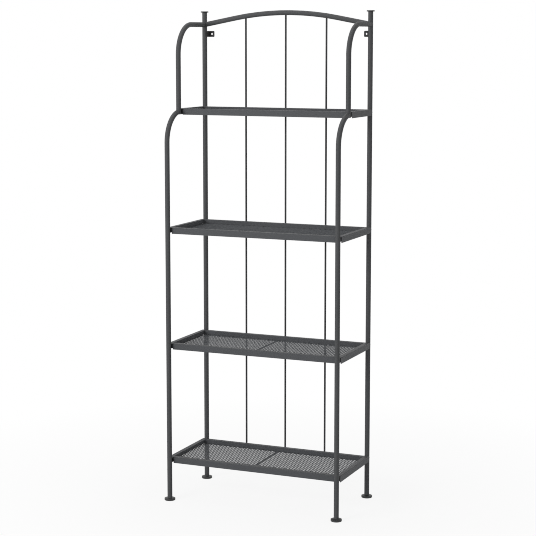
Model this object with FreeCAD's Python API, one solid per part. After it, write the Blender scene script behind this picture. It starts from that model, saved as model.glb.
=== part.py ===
import FreeCAD, Part
import math
import os

# Outdoor shelving unit: curved side frames of steel tube, an arched back rail with three rods,
# and four shallow mesh trays bolted between the front and the back tubes.
# Millimetres. X runs from left to right seen from the front, Y from front to back, Z up.
# The origin is on the floor, midway between the four feet.

# Heights, floor upwards
bottom_tray_height = 143.1      # floor to the top of the bottom tray's rim
tray_pitch = 380.6              # rim top to rim top
top_bay_height = 271.1          # top tray's rim to the ends of the arched rail
post_above_arch = 44.0          # ends of the arched rail to the top of the post caps
tray_names = ["bottom", "lower", "upper", "top"]

# Plan, between tube centres
post_spacing_wide = 587.0       # left to right
post_spacing_deep = 284.5       # lower front tube to back post
upper_setback = 85.2            # upper front tube behind the lower one

# Tube and its bends
tube_diameter = 16.0
tube_wall = 1.2
bend_radius = 97.0              # both front tubes, on their centre lines
arch_radius = 970.0
arch_bent_share = 0.613         # share of the half width that is bent, the ends run straight
saddle_stop = 3.0               # a coped tube end stops this far before the other tube's centre
mitre_gap = 0.3                 # between the arched rail's end and the side tube's end, at a post

# Rods in the back
rod_names = ["left", "centre", "right"]
rod_diameter = 6.0
rod_bend_radius = 7.0
rod_fit = 0.1

# Trays: folded channel rim, welded mesh, one cross bar
tray_gap = 2.25                 # rim face to tube, front and back
tray_overhang = 9.0             # rim's side face beyond the tube centres
rim_height = 20.0
rim_width = 14.5
rim_sheet = 1.2
rim_fold_radius = 1.5
mesh_drop = 13.0                # rim top to the mesh
mesh_thickness = 1.5
mesh_strand = 2.5
mesh_border = 3.0
mesh_columns = 13
mesh_rows = 12
bar_width = 4.0
bar_height = 4.0
bar_aside = 19.0                # cross bar's middle, left of the tray's middle

# Corner blocks between rim and tube
block_reach = 9.5               # from the tube centre towards the tray's middle
block_height = 14.3
block_hug = 3.0                 # how far the block's saddle wraps round the tube
block_fit = 0.1

# Bolts, nuts and studs
bolt_diameter = 6.0
bolt_clearance = 0.6            # hole diameter minus bolt diameter
thread_play = 0.1               # nut bore minus bolt diameter
bolt_head_diameter = 11.5
bolt_head_height = 3.3
bolt_head_edge = 0.8
socket_width = 4.0
socket_depth = 1.8
nut_width = 10.0                # across flats
nut_thickness = 5.0
nut_play = 0.2
rivet_body_diameter = 8.8
rivet_collar_diameter = 11.2
rivet_fit = 0.1

# Plugs inside tube ends
plug_fit = 0.1                  # radial
joint_plug_length = 14.0
insert_length = 15.0
insert_thread_depth = 11.0
spigot_length = 18.0
spigot_gap = 1.6                # plug shoulder to the post's surface
spigot_pin_diameter = 10.0
spigot_play = 0.4

# Feet and caps
foot_diameter = 35.6
foot_height = 8.0
foot_edge = 6.3
foot_bevel = 0.8
foot_shoulder = 1.6             # flat ring round the tube's end
foot_stem = 20.0
foot_dome_share = 0.72          # how full the dome is halfway up its slope
cap_diameter = 25.5
cap_height = 4.0
cap_round = 1.2
cap_stem = 15.0

# Wall brackets
bracket_thickness = 2.0
bracket_height = 19.5
bracket_drop = 30.5             # arch ends to the bracket's middle
bracket_reach = 27.7            # post centre to the tab's free end
bracket_hole_reach = 19.1       # post centre to the hole
bracket_hole_diameter = 6.5
bracket_sink = 0.8              # how far the post is let into the side leg
bracket_cover = 6.0             # side leg in front of the post centre
bracket_corner = 3.0

overrun = 2.0                   # how far a cutting shape runs past what it cuts
near_enough = 0.1               # how close an edge lies to the place where it is looked for

# Worked out from the sizes above
tube_radius = tube_diameter / 2
bore_radius = tube_radius - tube_wall
plug_radius = bore_radius - plug_fit
half_wide = post_spacing_wide / 2
front_y = -post_spacing_deep / 2
back_y = post_spacing_deep / 2
upper_y = front_y + upper_setback
tray_tops = [bottom_tray_height + level * tray_pitch for level in range(len(tray_names))]
bolt_heights = [top - rim_height / 2 for top in tray_tops]
arch_end_height = tray_tops[-1] + top_bay_height
unit_height = arch_end_height + post_above_arch
bolt_radius = bolt_diameter / 2
hole_radius = (bolt_diameter + bolt_clearance) / 2
nut_bore_radius = (bolt_diameter + thread_play) / 2
rod_radius = rod_diameter / 2
wall_y = back_y + foot_diameter / 2

tray_half_width = half_wide + tray_overhang
tray_back = back_y - tube_radius - tray_gap
tray_fronts = [front_y + tube_radius + tray_gap] * (len(tray_names) - 1)
tray_fronts.append(upper_y + tube_radius + tray_gap)

rod_spacing = (post_spacing_wide - tube_diameter) / (len(rod_names) + 1)
rod_places = [(count - (len(rod_names) - 1) / 2) * rod_spacing for count in range(len(rod_names))]
rod_fix_height = tray_tops[0] - rim_sheet - nut_play - nut_width / 2

left = -1
right = 1
sides = {"left": left, "right": right}
along_x = FreeCAD.Vector(1, 0, 0)
along_y = FreeCAD.Vector(0, 1, 0)
up = FreeCAD.Vector(0, 0, 1)
quarter_round_share = 1 - math.sqrt(0.5)


def point(x, y, z):
    return FreeCAD.Vector(x, y, z)


def bar(start, end, radius):
    """Round bar from one point to another."""
    return Part.makeCylinder(radius, (end - start).Length, start, end - start)


def bend(start, tangent, centre, axis, angle, radius):
    """Round bar along an arc that leaves start in the tangent's direction."""
    section = Part.Face(Part.Wire(Part.Circle(start, tangent, radius).toShape()))
    return section.revolve(centre, axis, angle)


def block(low, high):
    """Box between its lowest and highest corners."""
    size = high - low
    return Part.makeBox(size.x, size.y, size.z, low)


def joined(pieces):
    return pieces[0].multiFuse(pieces[1:]).removeSplitter()


def prism(corners, rise):
    return Part.Face(Part.makePolygon(corners + corners[:1])).extrude(rise)


def turned(profile, base):
    """Solid of revolution about the vertical through base, from a profile in the XZ plane."""
    edges = []
    for piece in profile:
        edges.append(piece.toShape())
    face = Part.Face(Part.Wire(edges))
    solid = face.revolve(FreeCAD.Vector(0, 0, 0), up, 360)
    solid.translate(base)
    return solid


def line(a, b):
    return Part.LineSegment(FreeCAD.Vector(a[0], 0, a[1]), FreeCAD.Vector(b[0], 0, b[1]))


def arc(a, middle, b):
    places = [FreeCAD.Vector(p[0], 0, p[1]) for p in (a, middle, b)]
    return Part.Arc(places[0], places[1], places[2])


def crown_middle(radius, rise):
    """Middle of the arc from (radius, 0) up to (0, rise), round about the vertical axis."""
    crown_radius = (radius ** 2 + rise ** 2) / (2 * rise)
    half_angle = math.asin(radius / crown_radius) / 2
    return crown_radius * math.sin(half_angle), rise - crown_radius * (1 - math.cos(half_angle))


def hex_corners(across_flats, centre, first_axis, second_axis):
    """Corners of a hexagon whose flats face the first axis."""
    corner_radius = across_flats / math.sqrt(3)
    corners = []
    for step in range(6):
        angle = math.radians(60 * step + 30)
        offset = first_axis * (corner_radius * math.cos(angle))
        offset = offset + second_axis * (corner_radius * math.sin(angle))
        corners.append(centre + offset)
    return corners


def upright_core(x, y, radius):
    """Tall round core that copes or saddles whatever meets an upright tube."""
    return bar(point(x, y, -overrun), point(x, y, unit_height + overrun), radius)


def bolt_hole(x, y, z, radius=hole_radius):
    """Hole along Y through both walls of an upright tube."""
    reach = tube_radius + overrun
    return bar(point(x, y - reach, z), point(x, y + reach, z), radius)


# Arched rail: its line and its ends
arch_bent_half = half_wide * arch_bent_share
arch_slope = math.asin(arch_bent_half / arch_radius)
arch_straight_drop = math.tan(arch_slope) * (half_wide - arch_bent_half)
arch_bent_drop = arch_radius * (1 - math.cos(arch_slope))
arch_centre_height = arch_end_height + arch_straight_drop + arch_bent_drop - arch_radius


def arch_line_height(x):
    """Height of the rail's centre line over a place in its bent stretch."""
    return arch_centre_height + math.sqrt(arch_radius ** 2 - x ** 2)


def arch_inward(side):
    """Direction from a post's centre up along the rail's straight end."""
    return point(-side * math.cos(arch_slope), 0, math.sin(arch_slope))


def arch_core(radius):
    start = point(-arch_bent_half, back_y, arch_line_height(arch_bent_half))
    tangent = point(math.cos(arch_slope), 0, math.sin(arch_slope))
    centre = point(0, back_y, arch_centre_height)
    pieces = [bend(start, tangent, centre, along_y, 2 * math.degrees(arch_slope), radius)]
    for side in (left, right):
        bent_end = point(side * arch_bent_half, back_y, arch_line_height(arch_bent_half))
        post_centre = point(side * half_wide, back_y, arch_end_height)
        stop = post_centre + arch_inward(side) * saddle_stop
        pieces.append(bar(bent_end, stop, radius))
    return joined(pieces)


def mitre_wedge(side, along, across):
    """Upright wedge that keeps a tube lying along one way clear of the one that lies across it."""
    base = point(side * half_wide, back_y, arch_end_height - tube_diameter)
    tip = base + along * mitre_gap
    far = along * tube_diameter + across * tube_diameter
    return prism([base, tip, tip + far, base + across * tube_diameter], up * (2 * tube_diameter))


def arch_rail():
    rail = arch_core(tube_radius).cut(arch_core(bore_radius))
    for side in (left, right):
        rail = rail.cut(upright_core(side * half_wide, back_y, tube_radius))
        rail = rail.cut(mitre_wedge(side, along_x * -side, -along_y))
    for x in rod_places:
        low = point(x, back_y, arch_line_height(x) - tube_diameter)
        rail = rail.cut(bar(low, point(x, back_y, arch_line_height(x)), rod_radius + rod_fit))
    return rail


def arch_spigot(side):
    """Plug in the rail's end with a pin that enters the post, where a bolt crosses it."""
    inward = arch_inward(side)
    centre = point(side * half_wide, back_y, arch_end_height)
    pin_radius = spigot_pin_diameter / 2
    past = math.sqrt(bore_radius ** 2 - pin_radius ** 2) - spigot_play
    shoulder = tube_radius + spigot_gap
    pin = bar(centre - inward * past, centre + inward * (shoulder + overrun), pin_radius)
    plug_end = centre + inward * (shoulder + spigot_length)
    plug = bar(centre + inward * shoulder, plug_end, plug_radius)
    return joined([pin, plug]).cut(bolt_hole(centre.x, centre.y, centre.z))


def back_post(side):
    x = side * half_wide
    top = unit_height - cap_height
    post = bar(point(x, back_y, foot_height), point(x, back_y, top), tube_radius)
    post = post.cut(upright_core(x, back_y, bore_radius))
    for height in bolt_heights + [arch_end_height]:
        post = post.cut(bolt_hole(x, back_y, height))
    centre = point(x, back_y, arch_end_height)
    mouth = centre + arch_inward(side) * (tube_radius + spigot_gap + overrun)
    return post.cut(bar(centre, mouth, spigot_pin_diameter / 2 + plug_fit))


def back_rod(x):
    """Rod from inside the arched rail down to its hook, which ends in the bottom tray's rim."""
    hook_y = back_y - rod_bend_radius
    hook_height = rod_fix_height + rod_bend_radius
    end_y = tray_back - rim_sheet - nut_thickness - thread_play
    bent_start = point(x, back_y, hook_height)
    bent_centre = point(x, hook_y, hook_height)
    upright = bar(point(x, back_y, arch_line_height(x) - tube_wall), bent_start, rod_radius)
    hook = bend(bent_start, -up, bent_centre, -along_x, 90, rod_radius)
    tail = bar(point(x, hook_y, rod_fix_height), point(x, end_y, rod_fix_height), rod_radius)
    return joined([upright, hook, tail])


# Front tubes: the lower one bends back onto the upper one, at the top tray's bolts
joint_height = bolt_heights[-1]
lower_bend_over = max(0, bend_radius - upper_setback)
lower_bend_rise = math.sqrt(bend_radius ** 2 - lower_bend_over ** 2)
lower_bend_start = joint_height - lower_bend_rise
lower_run_end = upper_y - saddle_stop


def bend_angle_at(y):
    """Angle of the lower tube's bend at a place before it is level."""
    return math.degrees(math.acos(min(1, max(0, (front_y + bend_radius - y) / bend_radius))))


def lower_front_core(x, radius):
    bend_start = point(x, front_y, lower_bend_start)
    level_y = front_y + bend_radius
    centre = point(x, level_y, lower_bend_start)
    pieces = [bar(point(x, front_y, foot_height), bend_start, radius)]
    pieces.append(bend(bend_start, up, centre, -along_x, bend_angle_at(lower_run_end), radius))
    if level_y < lower_run_end:
        pieces.append(bar(point(x, level_y, joint_height), point(x, lower_run_end, joint_height), radius))
    return joined(pieces)


def lower_front_tube(side):
    x = side * half_wide
    tube = lower_front_core(x, tube_radius).cut(lower_front_core(x, bore_radius))
    tube = tube.cut(upright_core(x, upper_y, tube_radius))
    reach = tube_radius + overrun
    rivet_radius = rivet_body_diameter / 2 + rivet_fit
    for height in bolt_heights[:-1]:
        tube = tube.cut(bar(point(x, front_y, height), point(x, front_y + reach, height), rivet_radius))
    return tube


def joint_stud(side):
    """Plug in the lower tube's end with the stud that runs through the upper tube and the top tray."""
    x = side * half_wide
    plug_start = lower_run_end - joint_plug_length
    tube_end = block(point(x - tube_radius, plug_start, lower_bend_start),
                     point(x + tube_radius, upper_y, joint_height + tube_diameter))
    plug = lower_front_core(x, plug_radius).common(tube_end)
    plug = plug.cut(upright_core(x, upper_y, tube_radius + plug_fit))
    middle_y = upper_y - tube_radius - joint_plug_length / 2
    stud = bar(point(x, middle_y, joint_height), point(x, stud_ends[-1], joint_height), bolt_radius)
    return joined([plug, stud])


upper_bend_start = arch_end_height - bend_radius
upper_low_end = joint_height - tube_radius


def upper_front_core(x, radius):
    bend_top = point(x, upper_y + bend_radius, arch_end_height)
    centre = point(x, upper_y + bend_radius, upper_bend_start)
    start = point(x, upper_y, upper_bend_start)
    upright = bar(point(x, upper_y, upper_low_end), start, radius)
    turn = bend(start, up, centre, -along_x, 90, radius)
    level = bar(bend_top, point(x, back_y - saddle_stop, arch_end_height), radius)
    return joined([upright, turn, level])


def upper_front_tube(side):
    x = side * half_wide
    tube = upper_front_core(x, tube_radius).cut(upper_front_core(x, bore_radius))
    tube = tube.cut(upright_core(x, back_y, tube_radius))
    tube = tube.cut(mitre_wedge(side, -along_y, along_x * -side))
    return tube.cut(bolt_hole(x, upper_y, joint_height))


def upper_tube_insert(side):
    """Threaded plug in the upper tube's back end, which the bolt through the post pulls on."""
    x = side * half_wide
    face = point(x, back_y - saddle_stop, arch_end_height)
    insert = bar(face - along_y * insert_length, face, plug_radius)
    insert = insert.cut(upright_core(x, back_y, tube_radius + plug_fit))
    insert = insert.cut(mitre_wedge(side, -along_y, along_x * -side))
    thread_end = point(x, back_y - tube_radius - insert_thread_depth, arch_end_height)
    return insert.cut(bar(thread_end, face, nut_bore_radius))


def foot(x, y):
    """Low domed glide with a stem in the tube's end."""
    radius = foot_diameter / 2
    ring = tube_radius + foot_shoulder
    stem_top = foot_height + foot_stem
    dome_middle = ((radius + ring) / 2, foot_edge + (foot_height - foot_edge) * foot_dome_share)
    profile = [line((0, 0), (radius - foot_bevel, 0)),
               line((radius - foot_bevel, 0), (radius, foot_bevel)),
               line((radius, foot_bevel), (radius, foot_edge)),
               arc((radius, foot_edge), dome_middle, (ring, foot_height)),
               line((ring, foot_height), (plug_radius, foot_height)),
               line((plug_radius, foot_height), (plug_radius, stem_top)),
               line((plug_radius, stem_top), (0, stem_top)),
               line((0, stem_top), (0, 0))]
    return turned(profile, point(x, y, 0))


def post_cap(side):
    radius = cap_diameter / 2
    corner = cap_round * quarter_round_share
    profile = [line((0, -cap_stem), (plug_radius, -cap_stem)),
               line((plug_radius, -cap_stem), (plug_radius, 0)),
               line((plug_radius, 0), (radius - cap_round, 0)),
               arc((radius - cap_round, 0), (radius - corner, corner), (radius, cap_round)),
               line((radius, cap_round), (radius, cap_height - cap_round)),
               arc((radius, cap_height - cap_round), (radius - corner, cap_height - corner),
                   (radius - cap_round, cap_height)),
               line((radius - cap_round, cap_height), (0, cap_height)),
               line((0, cap_height), (0, -cap_stem))]
    return turned(profile, point(side * half_wide, back_y, unit_height - cap_height))


def edges_near(shape, place):
    """Edges of a shape whose middle lies at a place."""
    return [edge for edge in shape.Edges if (edge.CenterOfMass - place).Length < near_enough]


def wall_bracket(side):
    """Bent tab on the post's inner side, with a hole to screw it to the wall behind."""
    middle = arch_end_height - bracket_drop
    low = middle - bracket_height / 2
    high = middle + bracket_height / 2
    outer_x = half_wide - tube_radius + bracket_sink
    free_x = half_wide - bracket_reach
    far_corner = point(outer_x, wall_y, high)
    leg = block(point(outer_x - bracket_thickness, back_y - bracket_cover, low), far_corner)
    tab = block(point(free_x, wall_y - bracket_thickness, low), far_corner)
    bracket = joined([leg, tab])
    fold = edges_near(bracket, point(outer_x, wall_y, middle))
    bracket = bracket.makeFillet(bracket_thickness, fold)
    tab_middle_y = wall_y - bracket_thickness / 2
    for height in (low, high):
        corner = edges_near(bracket, point(free_x, tab_middle_y, height))
        bracket = bracket.makeFillet(bracket_corner, corner)
    hole_x = half_wide - bracket_hole_reach
    hole = bar(point(hole_x, wall_y - bracket_thickness - overrun, middle),
               point(hole_x, wall_y + overrun, middle), bracket_hole_diameter / 2)
    bracket = bracket.cut([hole, upright_core(half_wide, back_y, tube_radius)])
    if side == left:
        bracket = bracket.mirror(point(0, 0, 0), along_x)
    return bracket


# Trays
rim_inner_x = tray_half_width - rim_width           # inner face of the channel's inner wall
block_inner_x = half_wide - block_reach


def tray_box(level, inset, low, high):
    """Box as large as a tray's plan, drawn in by an inset, between two depths below the rim's top."""
    top = tray_tops[level]
    return block(point(-tray_half_width + inset, tray_fronts[level] + inset, top - low),
                 point(tray_half_width - inset, tray_back - inset, top - high))


def tray_rim(level):
    """Rim folded to an upside-down channel, its end walls cut away where the corner blocks sit."""
    outside = tray_box(level, 0, rim_height, 0)
    top_edges = [edge for edge in outside.Edges if edge.BoundBox.ZMin > tray_tops[level] - near_enough]
    rim = outside.makeFillet(rim_fold_radius, top_edges)
    rim = rim.cut(tray_box(level, rim_sheet, rim_height + overrun, rim_sheet))
    rim = rim.cut(tray_box(level, rim_width, rim_height, -overrun))
    wall = tray_box(level, rim_width - rim_sheet, mesh_drop, rim_sheet)
    wall = wall.cut(tray_box(level, rim_width, mesh_drop + overrun, -overrun))
    rim = joined([rim, wall])
    top = tray_tops[level]
    for side in (left, right):
        xs = sorted([side * block_inner_x, side * (tray_half_width - rim_sheet)])
        for low_y, high_y in ((tray_fronts[level] - overrun, tray_fronts[level] + rim_sheet),
                              (tray_back - rim_sheet, tray_back + overrun)):
            rim = rim.cut(block(point(xs[0], low_y, top - rim_height - overrun),
                                point(xs[1], high_y, top - rim_sheet)))
    if level == 0:
        for x in rod_places:
            rim = rim.cut(bar(point(x, tray_back - rim_width / 2, rod_fix_height),
                              point(x, back_y, rod_fix_height), hole_radius))
    return rim


def mesh_deck(level):
    """Diamond net, welded to the lower edges of the rim's inner walls."""
    half_width = rim_inner_x + rim_sheet
    low_y = tray_fronts[level] + rim_width - rim_sheet
    high_y = tray_back - rim_width + rim_sheet
    floor = tray_tops[level] - mesh_drop - mesh_thickness
    full_depth = tray_back - tray_fronts[0]
    rows = round(mesh_rows * (tray_back - tray_fronts[level]) / full_depth)
    pitch_x = 2 * (half_width - mesh_border - rim_sheet) / mesh_columns
    pitch_y = (high_y - low_y - 2 * (mesh_border + rim_sheet)) / rows
    slant = math.hypot(pitch_x, pitch_y)
    half_gap_x = pitch_x / 2 - mesh_strand * slant / (2 * pitch_y)
    half_gap_y = half_gap_x * pitch_y / pitch_x
    middle_y = (low_y + high_y) / 2

    def ring(corners):
        return Part.makePolygon(corners + corners[:1])

    wires = [ring([point(-half_width, low_y, floor), point(half_width, low_y, floor),
                   point(half_width, high_y, floor), point(-half_width, high_y, floor)])]
    for shift in (0, 1):
        for column in range(mesh_columns - shift):
            for row in range(rows - shift):
                x = (column - (mesh_columns - 1 - shift) / 2) * pitch_x
                y = middle_y + (row - (rows - 1 - shift) / 2) * pitch_y
                wires.append(ring([point(x - half_gap_x, y, floor), point(x, y - half_gap_y, floor),
                                   point(x + half_gap_x, y, floor), point(x, y + half_gap_y, floor)]))
    net = Part.makeFace(wires, "Part::FaceMakerBullseye")
    return net.extrude(up * mesh_thickness)


def cross_bar(level):
    """Square bar under the mesh, left of its middle, from wall to wall of the rim."""
    middle_x = left * bar_aside
    top = tray_tops[level] - mesh_drop - mesh_thickness
    return block(point(middle_x - bar_width / 2, tray_fronts[level] + rim_sheet, top - bar_height),
                 point(middle_x + bar_width / 2, tray_back - rim_sheet, top))


def corner_places(level):
    """Each corner of a tray: side, tube centre in Y, and the way from the tube into the tray."""
    tube_y = upper_y if level == len(tray_names) - 1 else front_y
    places = []
    for side in (left, right):
        places.append((side, tube_y, 1))
        places.append((side, back_y, -1))
    return places


block_inner_reach = tube_radius + tray_gap + rim_width - rim_sheet - block_fit
nut_far_reach = block_inner_reach
nut_near_reach = nut_far_reach - nut_thickness
stud_ends = [front_y + nut_far_reach] * (len(tray_names) - 1)
stud_ends.append(upper_y + nut_far_reach)


def corner_block(level, side, tube_y, inward):
    """Plastic block that fills the cut in the rim, hugs the tube and holds the nut."""
    top = tray_tops[level] - rim_sheet
    xs = sorted([side * (block_inner_x + block_fit), side * (tray_half_width - rim_sheet - block_fit)])
    ys = sorted([tube_y + inward * (tube_radius - block_hug), tube_y + inward * block_inner_reach])
    body = block(point(xs[0], ys[0], top - block_height), point(xs[1], ys[1], top))
    x = side * half_wide
    height = bolt_heights[level]
    nut_half = nut_width / 2 + nut_play / 2
    nut_near = tube_y + inward * (nut_near_reach - nut_play)
    nut_far = tube_y + inward * (nut_far_reach + overrun)
    nut_top = height + nut_width / math.sqrt(3) + nut_play
    pocket = block(point(x - nut_half, min(nut_near, nut_far), top - block_height - overrun),
                   point(x + nut_half, max(nut_near, nut_far), nut_top))
    hole = bar(point(x, tube_y, height), point(x, tube_y + inward * nut_far_reach, height), hole_radius)
    return body.cut([upright_core(x, tube_y, tube_radius), pocket, hole])


def hex_nut(centre, axis, first_axis, second_axis):
    """Nut whose first face is at centre and whose thickness runs along the axis."""
    nut = prism(hex_corners(nut_width, centre, first_axis, second_axis), axis * nut_thickness)
    return nut.cut(bar(centre - axis * overrun, centre + axis * (nut_thickness + overrun), nut_bore_radius))


def corner_nut(level, side, tube_y, inward):
    near = point(side * half_wide, tube_y + inward * nut_near_reach, bolt_heights[level])
    return hex_nut(near, along_y * inward, along_x, up)


def rod_nut(x):
    near = point(x, tray_back - rim_sheet, rod_fix_height)
    return hex_nut(near, -along_y, up, along_x)


def dome_bolt(x, height, end_y):
    """Low domed socket bolt from behind a back post to a place in front of it."""
    radius = bolt_head_diameter / 2
    length = back_y + tube_radius - end_y
    rise = bolt_head_height - bolt_head_edge
    middle = crown_middle(radius, rise)
    profile = [line((0, -length), (bolt_radius, -length)),
               line((bolt_radius, -length), (bolt_radius, 0)),
               line((bolt_radius, 0), (radius, 0)),
               line((radius, 0), (radius, bolt_head_edge)),
               arc((radius, bolt_head_edge), (middle[0], bolt_head_edge + middle[1]), (0, bolt_head_height)),
               line((0, bolt_head_height), (0, -length))]
    bolt = turned(profile, point(0, 0, 0))
    floor = point(0, 0, bolt_head_height - socket_depth)
    bolt = bolt.cut(prism(hex_corners(socket_width, floor, along_x, along_y), up * (socket_depth + overrun)))
    bolt.rotate(point(0, 0, 0), along_x, -90)
    bolt.translate(point(x, back_y + tube_radius, height))
    return bolt


def front_stud(side, level):
    """Rivet stud in the lower front tube's back wall."""
    x = side * half_wide
    height = bolt_heights[level]
    collar_radius = rivet_collar_diameter / 2
    collar_end = front_y + math.sqrt(bore_radius ** 2 - collar_radius ** 2) - rivet_fit
    collar = bar(point(x, front_y, height), point(x, collar_end, height), collar_radius)
    body = bar(point(x, front_y, height), point(x, front_y + tube_radius, height), rivet_body_diameter / 2)
    body = body.common(upright_core(x, front_y, tube_radius))
    stud = bar(point(x, front_y, height), point(x, stud_ends[level], height), bolt_radius)
    return joined([collar, body, stud])


def group(pieces):
    return Part.makeCompound(pieces)


levels = range(len(tray_names))
nodes = {}
for name, side in sides.items():
    nodes["back_post_" + name] = back_post(side)
    nodes["lower_front_tube_" + name] = lower_front_tube(side)
    nodes["upper_front_tube_" + name] = upper_front_tube(side)
    nodes["upper_tube_insert_" + name] = upper_tube_insert(side)
    nodes["joint_stud_" + name] = joint_stud(side)
    nodes["arch_spigot_" + name] = arch_spigot(side)
    nodes["post_cap_" + name] = post_cap(side)
    nodes["front_foot_" + name] = foot(side * half_wide, front_y)
    nodes["back_foot_" + name] = foot(side * half_wide, back_y)
    nodes["wall_bracket_" + name] = wall_bracket(side)
nodes["arch_rail"] = arch_rail()
for name, x in zip(rod_names, rod_places):
    nodes["back_rod_" + name] = back_rod(x)
nodes["rod_nuts"] = group([rod_nut(x) for x in rod_places])
for level in levels:
    name = tray_names[level]
    nodes["tray_rim_" + name] = tray_rim(level)
    nodes["mesh_deck_" + name] = mesh_deck(level)
    nodes["cross_bar_" + name] = cross_bar(level)
    nodes["corner_blocks_" + name] = group([corner_block(level, *place) for place in corner_places(level)])
    nodes["tray_nuts_" + name] = group([corner_nut(level, *place) for place in corner_places(level)])
nodes["front_studs"] = group([front_stud(side, level) for side in (left, right) for level in levels[:-1]])
nodes["tray_bolts"] = group([dome_bolt(side * half_wide, height, back_y - nut_far_reach)
                             for side in (left, right) for height in bolt_heights])
insert_bolt_end = back_y - tube_radius - insert_thread_depth + thread_play
nodes["arch_bolts"] = group([dome_bolt(side * half_wide, arch_end_height, insert_bolt_end)
                             for side in (left, right)])

os.makedirs("parts", exist_ok=True)
for name, shape in nodes.items():
    shape.exportStep("parts/" + name + ".step")
    state = "valid" if shape.isValid() else "INVALID"
    print(name, len(shape.Solids), "solid(s)", round(shape.Volume), "mm3", state)
print(len(nodes), "nodes, height", round(unit_height, 1))
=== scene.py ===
import math

import bpy
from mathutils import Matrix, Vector


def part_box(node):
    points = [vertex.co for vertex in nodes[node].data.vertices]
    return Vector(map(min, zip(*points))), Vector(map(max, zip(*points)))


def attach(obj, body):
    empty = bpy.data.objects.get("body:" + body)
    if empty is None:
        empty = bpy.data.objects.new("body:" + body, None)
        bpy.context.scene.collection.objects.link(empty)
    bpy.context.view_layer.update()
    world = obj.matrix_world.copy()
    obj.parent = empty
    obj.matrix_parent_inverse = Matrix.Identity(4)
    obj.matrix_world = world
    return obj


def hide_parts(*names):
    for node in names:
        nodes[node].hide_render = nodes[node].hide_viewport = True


# Outdoor shelving unit of dark powder-coated steel: finishes, fine mesh decks, welds, light and camera.
# Metres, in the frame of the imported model: X to the right, Y to the back, Z up, floor at zero.

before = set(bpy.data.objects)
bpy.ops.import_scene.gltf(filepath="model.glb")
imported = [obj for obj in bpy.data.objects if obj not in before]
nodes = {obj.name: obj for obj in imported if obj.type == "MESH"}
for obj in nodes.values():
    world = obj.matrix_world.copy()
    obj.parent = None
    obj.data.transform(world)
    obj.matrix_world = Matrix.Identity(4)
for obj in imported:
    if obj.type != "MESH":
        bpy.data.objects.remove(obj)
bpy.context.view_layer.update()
body = "root"
tray_names = ["bottom", "lower", "upper", "top"]
side_names = ["left", "right"]
millimetre = 0.001

# Camera: fitted to the photograph, but with a smaller picture shift, in metres in the unit's frame
image_width_px = 536
focal_length_px = 1578.0
picture_shift_px = -24.0
sensor_width_mm = 36.0
camera_turn = math.radians(23.26)
camera_dip = math.radians(7.48)
camera_distance = 5.074
camera_aside = -0.002
camera_height = 1.516
nearest_seen = 0.1
farthest_seen = 100.0
pixel_filter_width = 1.0

# Expanded metal of the decks
diamond_long = 18.4 * millimetre
diamond_short = 10.3 * millimetre
strand_width = 2.6 * millimetre
strand_thickness = 1.35 * millimetre
strand_tilt = math.radians(8)
strand_edge = 0.18 * millimetre
bond_length = 2.4 * millimetre
rim_sheet = 1.2 * millimetre

# Spot welds between deck and rim, each a little different in size and turn
spot_weld_size = 1.5 * millimetre
spot_weld_height = 0.8 * millimetre
spot_weld_squash = 0.8
spot_weld_lump = 0.14
spot_weld_size_spread = 0.15
spot_weld_size_step = 2.4
spot_weld_turn_step = 0.9
diamonds_per_weld_wide = 2
diamonds_per_weld_deep = 3

# Weld beads, whose steps and ripples follow the radius of the bead
bead_step_share = 0.35
bead_ripple_share = 0.13
bead_ripple_rate = 2.6
bead_end_share = 0.35
bead_taper_rate = 4
bar_weld_radius = 1.1 * millimetre
bracket_weld_radius = 1.3 * millimetre
bracket_weld_sink = 0.6 * millimetre
bracket_weld_slant = 0.6
bracket_weld_setback = 5.2 * millimetre    # the back bead, behind the post's middle

# Colours, as linear values
tube_colour = (0.078, 0.080, 0.083, 1.0)
rod_colour = (0.042, 0.043, 0.045, 1.0)
sheet_colour = (0.079, 0.082, 0.088, 1.0)
mesh_colour = (0.088, 0.092, 0.099, 1.0)
bracket_colour = (0.036, 0.036, 0.037, 1.0)
block_colour = (0.008, 0.008, 0.0085, 1.0)
foot_colour = (0.045, 0.046, 0.047, 1.0)
cap_colour = (0.027, 0.028, 0.029, 1.0)
bolt_colour = (0.020, 0.021, 0.022, 1.0)
zinc_colour = (0.52, 0.52, 0.50, 1.0)
dust_colour = (0.17, 0.165, 0.155, 1.0)
floor_colour = (0.55, 0.55, 0.55, 1.0)
white_colour = (1.0, 1.0, 1.0, 1.0)

# Coats: shades as factors of a colour, and how glossy, rough, dusty, worn and grainy each coat is
coat_cloud_shades = (0.94, 1.06)
coat_speckle_shade = 1.15
coat_worn_shade = 1.9
coat_worn_share = 0.45
coat_specular = 0.18
coat_roughness_drift = (-0.04, 0.05)
coat_rubbed_roughness = -0.10
coat_peel_scale = 1300.0
coat_dust = 0.25
plastic_cloud_shades = (0.9, 1.1)
plastic_worn_shade = 1.8
plastic_worn_share = 0.35
plastic_specular = 0.3
plastic_roughness_drift = (-0.05, 0.05)
zinc_cloud_shades = (0.75, 1.05)
zinc_roughness = (0.28, 0.42)
zinc_peel_scale = 900.0
wide_edge = 0.9 * millimetre
narrow_edge = 0.4 * millimetre
moulded_edge = 0.6 * millimetre
grain_depth = 0.2 * millimetre
coat_grain_strength = 0.16
plastic_grain_strength = 0.25
zinc_grain_strength = 0.2

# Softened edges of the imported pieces
sharp_angle = math.radians(35)
corner_gap = 0.002 * millimetre

# Floor and light
floor_roughness = 0.9
side_light = 1.0
top_light = 0.0
light_fade_heights = (0.1, 0.9)
lamp_target = (0, 0, 0.85)
soft_box_size = 1.8
front_left_place = (-1.8, -3.8, 2.0)
front_left_power = 95
top_place = (-0.2, 0.2, 4.0)
top_power = 24


# Node helpers


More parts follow.
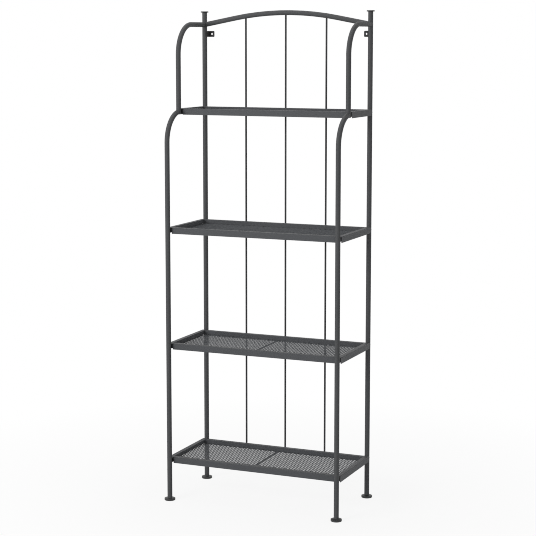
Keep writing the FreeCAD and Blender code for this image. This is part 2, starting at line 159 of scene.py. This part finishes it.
def feed(tree, socket, source):
    """Sets a socket to a value, or links another node's output to it."""
    if isinstance(source, bpy.types.NodeSocket):
        tree.links.new(source, socket)
    else:
        socket.default_value = source


def add_node(tree, kind, settings=None, inputs=None):
    made = tree.nodes.new(kind)
    for name, value in (settings or {}).items():
        setattr(made, name, value)
    for name, source in (inputs or {}).items():
        feed(tree, made.inputs[name], source)
    return made


def calculate(tree, operation, first, second):
    """Output of a math node."""
    made = add_node(tree, "ShaderNodeMath", {"operation": operation}, {0: first, 1: second})
    return made.outputs["Value"]


def spread(tree, value, low, high, new_low, new_high):
    """Output of a map range node, held between its new limits."""
    inputs = {"Value": value, "From Min": low, "From Max": high, "To Min": new_low, "To Max": new_high}
    return add_node(tree, "ShaderNodeMapRange", {"clamp": True}, inputs).outputs["Result"]


def mask(tree, value, zero_at, one_at):
    """Ramp from zero at one value to one at another, and level beyond them."""
    return spread(tree, value, zero_at, one_at, 0.0, 1.0)


def noise(tree, place, scale, detail, roughness=0.5):
    inputs = {"Vector": place, "Scale": scale, "Detail": detail, "Roughness": roughness}
    return add_node(tree, "ShaderNodeTexNoise", {}, inputs).outputs["Fac"]


def object_place(tree):
    return add_node(tree, "ShaderNodeTexCoord").outputs["Object"]


def new_group(name, inputs, outputs):
    """Shader node group with named number sockets, and its two end nodes."""
    group = bpy.data.node_groups.new(name, "ShaderNodeTree")
    for label, value in inputs.items():
        socket = group.interface.new_socket(label, in_out="INPUT", socket_type="NodeSocketFloat")
        socket.default_value = value
    for label in outputs:
        group.interface.new_socket(label, in_out="OUTPUT", socket_type="NodeSocketFloat")
    return group, group.nodes.new("NodeGroupInput"), group.nodes.new("NodeGroupOutput")


def place_group(tree, group, values):
    made = tree.nodes.new("ShaderNodeGroup")
    made.node_tree = group
    for label, value in values.items():
        feed(tree, made.inputs[label], value)
    return made


# Effects shared by several materials


def make_powder_grain():
    """Orange-peel height, fine speckle and cloudy unevenness of a baked powder coat."""
    inputs = {"Peel Scale": coat_peel_scale, "Speckle Scale": 3500.0, "Cloud Scale": 9.0,
              "Peel Share": 0.6}
    group, start, end = new_group("powder_grain", inputs, ["Height", "Speckle", "Cloud"])
    place = object_place(group)
    peel = noise(group, place, start.outputs["Peel Scale"], 1.5, 0.45)
    speckle = noise(group, place, start.outputs["Speckle Scale"], 2.0, 0.6)
    cloud = noise(group, place, start.outputs["Cloud Scale"], 3.0, 0.55)
    peel_part = calculate(group, "MULTIPLY", peel, start.outputs["Peel Share"])
    fine_share = calculate(group, "SUBTRACT", 1.0, start.outputs["Peel Share"])
    fine_part = calculate(group, "MULTIPLY", speckle, fine_share)
    feed(group, end.inputs["Height"], calculate(group, "ADD", peel_part, fine_part))
    feed(group, end.inputs["Speckle"], mask(group, speckle, 0.56, 0.72))
    feed(group, end.inputs["Cloud"], mask(group, cloud, 0.3, 0.7))
    return group


def make_edge_thinning():
    """Mask that is one along outer edges, where a coat pulls thin and is rubbed in handling."""
    group, start, end = new_group("edge_thinning", {"Reach": wide_edge, "Patch Scale": 160.0}, ["Mask"])
    inputs = {"Radius": start.outputs["Reach"]}
    rounded = add_node(group, "ShaderNodeBevel", {"samples": 4}, inputs).outputs["Normal"]
    plain = add_node(group, "ShaderNodeNewGeometry").outputs["Normal"]
    dot = add_node(group, "ShaderNodeVectorMath", {"operation": "DOT_PRODUCT"}, {0: rounded, 1: plain})
    edge = mask(group, dot.outputs["Value"], 0.995, 0.80)
    patch = noise(group, object_place(group), start.outputs["Patch Scale"], 3.0, 0.6)
    patchy = spread(group, patch, 0.35, 0.65, 0.25, 1.0)
    feed(group, end.inputs["Mask"], calculate(group, "MULTIPLY", edge, patchy))
    return group


def make_dust_film():
    """Mask of the thin dust that settles on what faces up."""
    group, start, end = new_group("dust_film", {"Amount": coat_dust, "Drift Scale": 38.0}, ["Mask"])
    normal = add_node(group, "ShaderNodeNewGeometry").outputs["Normal"]
    parts = add_node(group, "ShaderNodeSeparateXYZ", {}, {"Vector": normal})
    facing_up = mask(group, parts.outputs["Z"], 0.3, 1.0)
    drift = noise(group, object_place(group), start.outputs["Drift Scale"], 4.0, 0.6)
    drifting = calculate(group, "MULTIPLY", facing_up, spread(group, drift, 0.35, 0.7, 0.2, 1.0))
    feed(group, end.inputs["Mask"], calculate(group, "MULTIPLY", drifting, start.outputs["Amount"]))
    return group


def make_moulded_grain():
    """Fine spark-eroded grain of moulded plastic, with faint flow clouds."""
    inputs = {"Grain Scale": 1100.0, "Cloud Scale": 60.0}
    group, start, end = new_group("moulded_grain", inputs, ["Height", "Cloud"])
    place = object_place(group)
    cells = {"Vector": place, "Scale": start.outputs["Grain Scale"]}
    pits = add_node(group, "ShaderNodeTexVoronoi", {"feature": "F1"}, cells).outputs["Distance"]
    feed(group, end.inputs["Height"], pits)
    cloud = noise(group, place, start.outputs["Cloud Scale"], 3.0)
    feed(group, end.inputs["Cloud"], mask(group, cloud, 0.3, 0.7))
    return group


powder_grain = make_powder_grain()
edge_thinning = make_edge_thinning()
dust_film = make_dust_film()
moulded_grain = make_moulded_grain()


def mix_colours(tree, share, first, second):
    inputs = {"Factor": share}
    made = add_node(tree, "ShaderNodeMix", {"data_type": "RGBA"}, inputs)
    colours = [socket for socket in made.inputs if socket.type == "RGBA"]
    feed(tree, colours[0], first)
    feed(tree, colours[1], second)
    return [socket for socket in made.outputs if socket.type == "RGBA"][0]


def shade_of(colour, factor):
    return tuple(value * factor for value in colour[:3]) + (1.0,)


def new_material(name):
    material = bpy.data.materials.new(name)
    material.use_nodes = True
    tree = material.node_tree
    return material, tree, tree.nodes["Principled BSDF"]


def clouded_colour(tree, cloud, colour, shades):
    """A colour that drifts between a darker and a lighter shade of itself."""
    return mix_colours(tree, cloud, shade_of(colour, shades[0]), shade_of(colour, shades[1]))


def drifting_roughness(tree, cloud, roughness, drift):
    """Roughness that drifts with the clouds, between two steps away from its middle."""
    return spread(tree, cloud, 0.0, 1.0, roughness + drift[0], roughness + drift[1])


def bump(tree, shader, height, strength, distance):
    inputs = {"Height": height, "Strength": strength, "Distance": distance}
    feed(tree, shader.inputs["Normal"], add_node(tree, "ShaderNodeBump", {}, inputs).outputs["Normal"])


def powder_coat(name, colour, roughness=0.58, edge_reach=wide_edge):
    """Fine-textured matt powder coat on steel."""
    material, tree, shader = new_material(name)
    grain = place_group(tree, powder_grain, {"Peel Scale": coat_peel_scale})
    edge = place_group(tree, edge_thinning, {"Reach": edge_reach})
    film = place_group(tree, dust_film, {"Amount": coat_dust})
    clouded = clouded_colour(tree, grain.outputs["Cloud"], colour, coat_cloud_shades)
    speckled = mix_colours(tree, grain.outputs["Speckle"], clouded, shade_of(colour, coat_speckle_shade))
    edge_share = calculate(tree, "MULTIPLY", edge.outputs["Mask"], coat_worn_share)
    edged = mix_colours(tree, edge_share, speckled, shade_of(colour, coat_worn_shade))
    dusted = mix_colours(tree, film.outputs["Mask"], edged, dust_colour)
    feed(tree, shader.inputs["Base Color"], dusted)
    matt = drifting_roughness(tree, grain.outputs["Cloud"], roughness, coat_roughness_drift)
    rubbed = calculate(tree, "MULTIPLY", edge.outputs["Mask"], coat_rubbed_roughness)
    feed(tree, shader.inputs["Roughness"], calculate(tree, "ADD", matt, rubbed))
    shader.inputs["Specular IOR Level"].default_value = coat_specular
    bump(tree, shader, grain.outputs["Height"], coat_grain_strength, grain_depth)
    return material


def moulded_plastic(name, colour, roughness=0.5):
    """Dark plastic with the fine grain of its mould, rubbed a little lighter along its edges."""
    material, tree, shader = new_material(name)
    grain = place_group(tree, moulded_grain, {})
    edge = place_group(tree, edge_thinning, {"Reach": moulded_edge})
    clouded = clouded_colour(tree, grain.outputs["Cloud"], colour, plastic_cloud_shades)
    edge_share = calculate(tree, "MULTIPLY", edge.outputs["Mask"], plastic_worn_share)
    edged = mix_colours(tree, edge_share, clouded, shade_of(colour, plastic_worn_shade))
    feed(tree, shader.inputs["Base Color"], edged)
    matt = drifting_roughness(tree, grain.outputs["Cloud"], roughness, plastic_roughness_drift)
    feed(tree, shader.inputs["Roughness"], matt)
    shader.inputs["Specular IOR Level"].default_value = plastic_specular
    bump(tree, shader, grain.outputs["Height"], plastic_grain_strength, grain_depth)
    return material


def zinc_plate(name, colour):
    """Bright zinc on nuts, studs and plugs, clouded and finely grained."""
    material, tree, shader = new_material(name)
    grain = place_group(tree, powder_grain, {"Peel Scale": zinc_peel_scale})
    clouded = clouded_colour(tree, grain.outputs["Cloud"], colour, zinc_cloud_shades)
    feed(tree, shader.inputs["Base Color"], clouded)
    shader.inputs["Metallic"].default_value = 1.0
    feed(tree, shader.inputs["Roughness"], spread(tree, grain.outputs["Cloud"], 0.0, 1.0, *zinc_roughness))
    bump(tree, shader, grain.outputs["Height"], zinc_grain_strength, grain_depth / 2)
    return material


tube_coat = powder_coat("tube_coat", tube_colour)
rod_coat = powder_coat("rod_coat", rod_colour, edge_reach=narrow_edge)
sheet_coat = powder_coat("sheet_coat", sheet_colour, roughness=0.54)
mesh_coat = powder_coat("mesh_coat", mesh_colour, edge_reach=narrow_edge)
bracket_coat = powder_coat("bracket_coat", bracket_colour)
bolt_coat = powder_coat("bolt_coat", bolt_colour, roughness=0.38, edge_reach=narrow_edge)
block_plastic = moulded_plastic("block_plastic", block_colour)
foot_plastic = moulded_plastic("foot_plastic", foot_colour, roughness=0.42)
cap_plastic = moulded_plastic("cap_plastic", cap_colour, roughness=0.42)
zinc = zinc_plate("zinc", zinc_colour)


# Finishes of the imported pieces


def soften_edges(piece, width):
    """Joins split corners and breaks sharp edges, by modifiers, so that edges catch the light."""
    weld = piece.modifiers.new("join_corners", "WELD")
    weld.merge_threshold = corner_gap
    bevel = piece.modifiers.new("break_edges", "BEVEL")
    bevel.width = width
    bevel.segments = 2
    bevel.limit_method = "ANGLE"
    bevel.angle_limit = sharp_angle
    bevel.harden_normals = True


# Material of each kind of piece, and how far its sharp edges are broken
finishes = {
    "back_post": (tube_coat, 0),
    "lower_front_tube": (tube_coat, 0),
    "upper_front_tube": (tube_coat, 0),
    "arch_rail": (tube_coat, 0),
    "back_rod": (rod_coat, 0),
    "tray_rim": (sheet_coat, 0.25 * millimetre),
    "cross_bar": (sheet_coat, 0.4 * millimetre),
    "mesh_deck": (mesh_coat, 0),
    "corner_blocks": (block_plastic, 0.35 * millimetre),
    "wall_bracket": (bracket_coat, 0.2 * millimetre),
    "post_cap": (cap_plastic, 0),
    "front_foot": (foot_plastic, 0),
    "back_foot": (foot_plastic, 0),
    "tray_bolts": (bolt_coat, 0),
    "arch_bolts": (bolt_coat, 0),
    "tray_nuts": (zinc, 0),
    "rod_nuts": (zinc, 0),
    "front_studs": (zinc, 0),
    "joint_stud": (zinc, 0),
    "upper_tube_insert": (zinc, 0),
    "arch_spigot": (zinc, 0),
}


def finish_packed_pieces():
    for name, piece in nodes.items():
        kind = next(kind for kind in finishes if name.startswith(kind))
        material, edge_width = finishes[kind]
        piece.data.materials.clear()
        piece.data.materials.append(material)
        if edge_width:
            soften_edges(piece, edge_width)


# Pieces made here


def mesh_piece(name, mesh, material):
    piece = bpy.data.objects.new(name, mesh)
    bpy.context.scene.collection.objects.link(piece)
    mesh.materials.append(material)
    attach(piece, body)
    return piece


def mesh_from(name, points, faces, smooth=True):
    mesh = bpy.data.meshes.new(name)
    mesh.from_pydata(points, [], faces)
    mesh.update()
    mesh.polygons.foreach_set("use_smooth", [smooth] * len(mesh.polygons))
    return mesh


def strand_section():
    """Corners of a strand's cross section across the deck, a flat strip with broken edges, tilted."""
    half_width = strand_width / 2
    half_thickness = strand_thickness / 2
    corners = []
    for side_y, side_z in ((1, 1), (-1, 1), (-1, -1), (1, -1)):
        pair = [(side_y * half_width, side_z * (half_thickness - strand_edge)),
                (side_y * (half_width - strand_edge), side_z * half_thickness)]
        corners += pair if side_y * side_z > 0 else pair[::-1]
    turned = []
    for y, z in corners:
        turned.append((y * math.cos(strand_tilt) + z * math.sin(strand_tilt),
                       z * math.cos(strand_tilt) - y * math.sin(strand_tilt)))
    return turned


def zigzag_stops(low_x, high_x):
    """Stops along a strand as (place, height), where the height is 1 or -1 at the bonds."""
    half_pitch = diamond_long / 2
    count = math.ceil((high_x - low_x) / half_pitch) + 1
    first = (low_x + high_x) / 2 - (count - 1) / 2 * half_pitch
    stops = []
    for bond in range(count):
        height = 1 if bond % 2 == 0 else -1
        for end in (-1, 1):
            stops.append((first + bond * half_pitch + end * bond_length / 2, height))
    inside = []
    for place, height in stops:
        if low_x < place < high_x:
            inside.append((place, height))
    for edge_x in (low_x, high_x):
        for (start_x, start), (end_x, end) in zip(stops, stops[1:]):
            if start_x <= edge_x < end_x:
                share = (edge_x - start_x) / (end_x - start_x)
                inside.append((edge_x, start + (end - start) * share))
    return sorted(inside)


def expanded_metal(name, low, high):
    """Raised expanded metal: zigzag strands across the deck, joined to their neighbours at the bonds."""
    section = strand_section()
    corners = len(section)
    sway = (diamond_short / 2 - strand_width * math.cos(strand_tilt)) / 2
    lift = strand_width / 2 * math.sin(strand_tilt)
    reach = sway + strand_width / 2 * math.cos(strand_tilt)
    count = round((high.y - low.y - 2 * reach) / (diamond_short / 2)) + 1
    pitch = (high.y - low.y - 2 * reach) / (count - 1)
    top = max(z for y, z in section) + lift
    middle_z = high.z - top
    stops = zigzag_stops(low.x, high.x)
    points = []
    faces = []
    for strand in range(count):
        way = 1 if strand % 2 == 0 else -1
        strand_y = low.y + reach + strand * pitch
        base = len(points)
        for x, height in stops:
            swing = way * height
            for y, z in section:
                points.append((x, strand_y + swing * sway + y, middle_z + swing * lift + z))
        for stop in range(len(stops) - 1):
            for corner in range(corners):
                after = (corner + 1) % corners
                near = base + stop * corners
                far = near + corners
                faces.append((near + corner, near + after, far + after, far + corner))
        last = base + (len(stops) - 1) * corners
        faces.append(tuple(base + corner for corner in reversed(range(corners))))
        faces.append(tuple(last + corner for corner in range(corners)))
    return mesh_from(name, points, faces, smooth=False)


def spot_weld(points, faces, centre, turn, size):
    """Adds one low lumpy spot of weld metal, a flattened dome of three rings, to points and faces."""
    around = 8
    ring_shares = ((1.0, 0.0), (0.92, 0.45), (0.6, 0.85))
    base = len(points)
    for ring, (reach, rise) in enumerate(ring_shares):
        for step in range(around):
            angle = 2 * math.pi * step / around + turn
            lump = 1 + spot_weld_lump * math.sin(3 * angle + 5 * turn + ring)
            points.append((centre[0] + math.cos(angle) * reach * size * lump,
                           centre[1] + math.sin(angle) * reach * size * lump * spot_weld_squash,
                           centre[2] + rise * spot_weld_height))
    points.append((centre[0], centre[1], centre[2] + spot_weld_height))
    for ring in range(len(ring_shares) - 1):
        for step in range(around):
            after = (step + 1) % around
            near = base + ring * around
            far = near + around
            faces.append((near + step, near + after, far + after, far + step))
    last = base + (len(ring_shares) - 1) * around
    for step in range(around):
        faces.append((last + step, last + (step + 1) % around, len(points) - 1))
    faces.append(tuple(base + step for step in reversed(range(around))))


def deck_weld_places(low, high):
    """Places along the four edges of a deck where it is spot-welded to the rim."""
    inset = rim_sheet + spot_weld_size / 2
    places = []
    columns = int((high.x - low.x) / (diamonds_per_weld_wide * diamond_long))
    rows = int((high.y - low.y) / (diamonds_per_weld_deep * diamond_short))
    for column in range(columns):
        x = low.x + (column + 0.5) * (high.x - low.x) / columns
        places += [(x, low.y + inset), (x, high.y - inset)]
    for row in range(rows):
        y = low.y + (row + 0.5) * (high.y - low.y) / rows
        places += [(low.x + inset, y), (high.x - inset, y)]
    return places


def make_deck(tray):
    node = "mesh_deck_" + tray
    low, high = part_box(node)
    deck = mesh_piece("deck_" + tray, expanded_metal("deck_" + tray, low, high), mesh_coat)
    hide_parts(node)
    points = []
    faces = []
    for index, (x, y) in enumerate(deck_weld_places(low, high)):
        size = spot_weld_size * (1 + spot_weld_size_spread * math.sin(index * spot_weld_size_step))
        centre = (x, y, high.z - strand_thickness)
        spot_weld(points, faces, centre, index * spot_weld_turn_step, size)
    welds = mesh_from("deck_welds_" + tray, points, faces)
    mesh_piece("deck_welds_" + tray, welds, sheet_coat)


def bead(name, start, end, radius, facing, material):
    """Rippled weld bead along a straight joint: a half-round run with a crest for each drop of metal."""
    along = end - start
    across = along.cross(facing).normalized()
    length = along.length
    steps = max(6, round(length / (radius * bead_step_share)))
    around = 7
    points = []
    faces = []
    for step in range(steps + 1):
        share = step / steps
        ripple = 1 + bead_ripple_share * math.sin(share * length / radius * bead_ripple_rate)
        nearest_end = min(share, 1 - share)
        taper = min(1.0, bead_taper_rate * nearest_end + bead_end_share)
        for corner in range(around):
            angle = math.pi * corner / (around - 1)
            offset = across * math.cos(angle) + facing * math.sin(angle)
            points.append(start + along * share + offset * radius * ripple * taper)
    for step in range(steps):
        for corner in range(around):
            after = (corner + 1) % around
            near = step * around
            far = near + around
            faces.append((near + corner, near + after, far + after, far + corner))
    faces.append(tuple(range(around)))
    faces.append(tuple(steps * around + corner for corner in reversed(range(around))))
    mesh_piece(name, mesh_from(name, points, faces), material)


def bracket_welds(side):
    """Two upright beads where the side leg of a wall bracket meets its post."""
    low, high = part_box("wall_bracket_" + side)
    post_low, post_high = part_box("back_post_" + side)
    way = -1 if side == "left" else 1
    inner_x = post_low.x if way > 0 else post_high.x
    radius = bracket_weld_radius
    back_y = (post_low.y + post_high.y) / 2 + bracket_weld_setback
    for label, y, facing_y in (("front", low.y, -1), ("back", back_y, 1)):
        x = inner_x + way * bracket_weld_sink
        start = Vector((x, y, low.z + radius))
        end = Vector((x, y, high.z - radius))
        facing = Vector((-way, bracket_weld_slant * facing_y, 0)).normalized()
        bead("bracket_weld_%s_%s" % (label, side), start, end, radius, facing, bracket_coat)


def bar_welds(tray):
    """Beads where the cross bar meets the rim, front and back."""
    low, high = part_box("cross_bar_" + tray)
    radius = bar_weld_radius
    for label, y, facing_y in (("front", low.y, 1), ("back", high.y, -1)):
        for way, x in ((-1, low.x), (1, high.x)):
            start = Vector((x, y, low.z + radius))
            end = Vector((x, y, high.z - radius))
            facing = Vector((way, facing_y, 0)).normalized()
            name = "bar_weld_%s_%s_%s" % (label, "left" if way < 0 else "right", tray)
            bead(name, start, end, radius, facing, sheet_coat)


def make_pieces():
    for tray in tray_names:
        make_deck(tray)
        bar_welds(tray)
    for side in side_names:
        bracket_welds(side)


# Stage, light and camera


def background_share(tree):
    """One for rays that show the background: seen straight, or in gloss or glass."""
    path = add_node(tree, "ShaderNodeLightPath")
    seen = calculate(tree, "MAXIMUM", path.outputs["Is Camera Ray"], path.outputs["Is Glossy Ray"])
    return calculate(tree, "MAXIMUM", seen, path.outputs["Is Transmission Ray"])


def make_world():
    """Even studio light, weaker from above than from the sides."""
    world = bpy.data.worlds.new("studio")
    bpy.context.scene.world = world
    world.use_nodes = True
    tree = world.node_tree
    tree.nodes.clear()
    direction = add_node(tree, "ShaderNodeTexCoord").outputs["Generated"]
    height = add_node(tree, "ShaderNodeSeparateXYZ", {}, {"Vector": direction}).outputs["Z"]
    strength = spread(tree, height, *light_fade_heights, side_light, top_light)
    light = add_node(tree, "ShaderNodeBackground", {}, {"Color": white_colour, "Strength": strength})
    seen = add_node(tree, "ShaderNodeBackground", {}, {"Color": white_colour, "Strength": 1.0})
    mixed = add_node(tree, "ShaderNodeMixShader", {}, {0: background_share(tree)})
    tree.links.new(light.outputs[0], mixed.inputs[1])
    tree.links.new(seen.outputs[0], mixed.inputs[2])
    output = add_node(tree, "ShaderNodeOutputWorld")
    tree.links.new(mixed.outputs[0], output.inputs["Surface"])


def make_floor(half_size, plain_radius, fade_radius, near_share):
    """Pale floor, shown white to the camera, that keeps the shadow near the unit and fades to pure white."""
    corners = [(-half_size, -half_size, 0), (half_size, -half_size, 0), (half_size, half_size, 0),
               (-half_size, half_size, 0)]
    mesh = mesh_from("floor", corners, [(0, 1, 2, 3)], smooth=False)
    floor = bpy.data.objects.new("floor", mesh)
    bpy.context.scene.collection.objects.link(floor)
    material, tree, shader = new_material("pale_floor")
    camera_ray = add_node(tree, "ShaderNodeLightPath").outputs["Is Camera Ray"]
    shown = mix_colours(tree, camera_ray, floor_colour, white_colour)
    feed(tree, shader.inputs["Base Color"], shown)
    shader.inputs["Roughness"].default_value = floor_roughness
    shader.inputs["Specular IOR Level"].default_value = 0.0
    place = add_node(tree, "ShaderNodeNewGeometry").outputs["Position"]
    distance = add_node(tree, "ShaderNodeVectorMath", {"operation": "LENGTH"}, {0: place}).outputs["Value"]
    fade = spread(tree, distance, plain_radius, fade_radius, near_share, 1.0)
    share = calculate(tree, "MULTIPLY", fade, background_share(tree))
    white = add_node(tree, "ShaderNodeEmission", {}, {"Color": white_colour, "Strength": 1.0})
    mixed = add_node(tree, "ShaderNodeMixShader", {}, {0: share})
    tree.links.new(shader.outputs[0], mixed.inputs[1])
    tree.links.new(white.outputs[0], mixed.inputs[2])
    tree.links.new(mixed.outputs[0], tree.nodes["Material Output"].inputs["Surface"])
    mesh.materials.append(material)


def make_lamp(name, place, power):
    """Square soft box that faces the middle of the unit."""
    lamp = bpy.data.lights.new(name, "AREA")
    lamp.shape = "RECTANGLE"
    lamp.size = soft_box_size
    lamp.size_y = soft_box_size
    lamp.energy = power
    holder = bpy.data.objects.new(name, lamp)
    holder.location = place
    way = Vector(lamp_target) - Vector(place)
    holder.rotation_euler = way.to_track_quat("-Z", "Y").to_euler()
    bpy.context.scene.collection.objects.link(holder)


def make_light():
    make_world()
    make_lamp("front_left_box", front_left_place, front_left_power)
    make_lamp("top_box", top_place, top_power)


def make_camera():
    level = math.cos(camera_dip)
    forward = Vector((-math.sin(camera_turn) * level, math.cos(camera_turn) * level, -math.sin(camera_dip)))
    aside = Vector((math.cos(camera_turn), math.sin(camera_turn), 0))
    back = Vector((math.sin(camera_turn), -math.cos(camera_turn), 0))
    data = bpy.data.cameras.new("photograph")
    data.sensor_width = sensor_width_mm
    data.lens = focal_length_px / image_width_px * sensor_width_mm
    data.shift_y = picture_shift_px / image_width_px
    data.clip_start = nearest_seen
    data.clip_end = farthest_seen
    camera = bpy.data.objects.new("photograph", data)
    camera.location = back * camera_distance + aside * camera_aside + Vector((0, 0, camera_height))
    camera.rotation_euler = forward.to_track_quat("-Z", "Y").to_euler()
    bpy.context.scene.collection.objects.link(camera)
    bpy.context.scene.camera = camera


finish_packed_pieces()
make_pieces()
make_floor(half_size=40.0, plain_radius=0.4, fade_radius=1.5, near_share=0.88)
make_light()
make_camera()
bpy.context.scene.view_settings.view_transform = "Standard"
bpy.context.scene.cycles.filter_width = pixel_filter_width
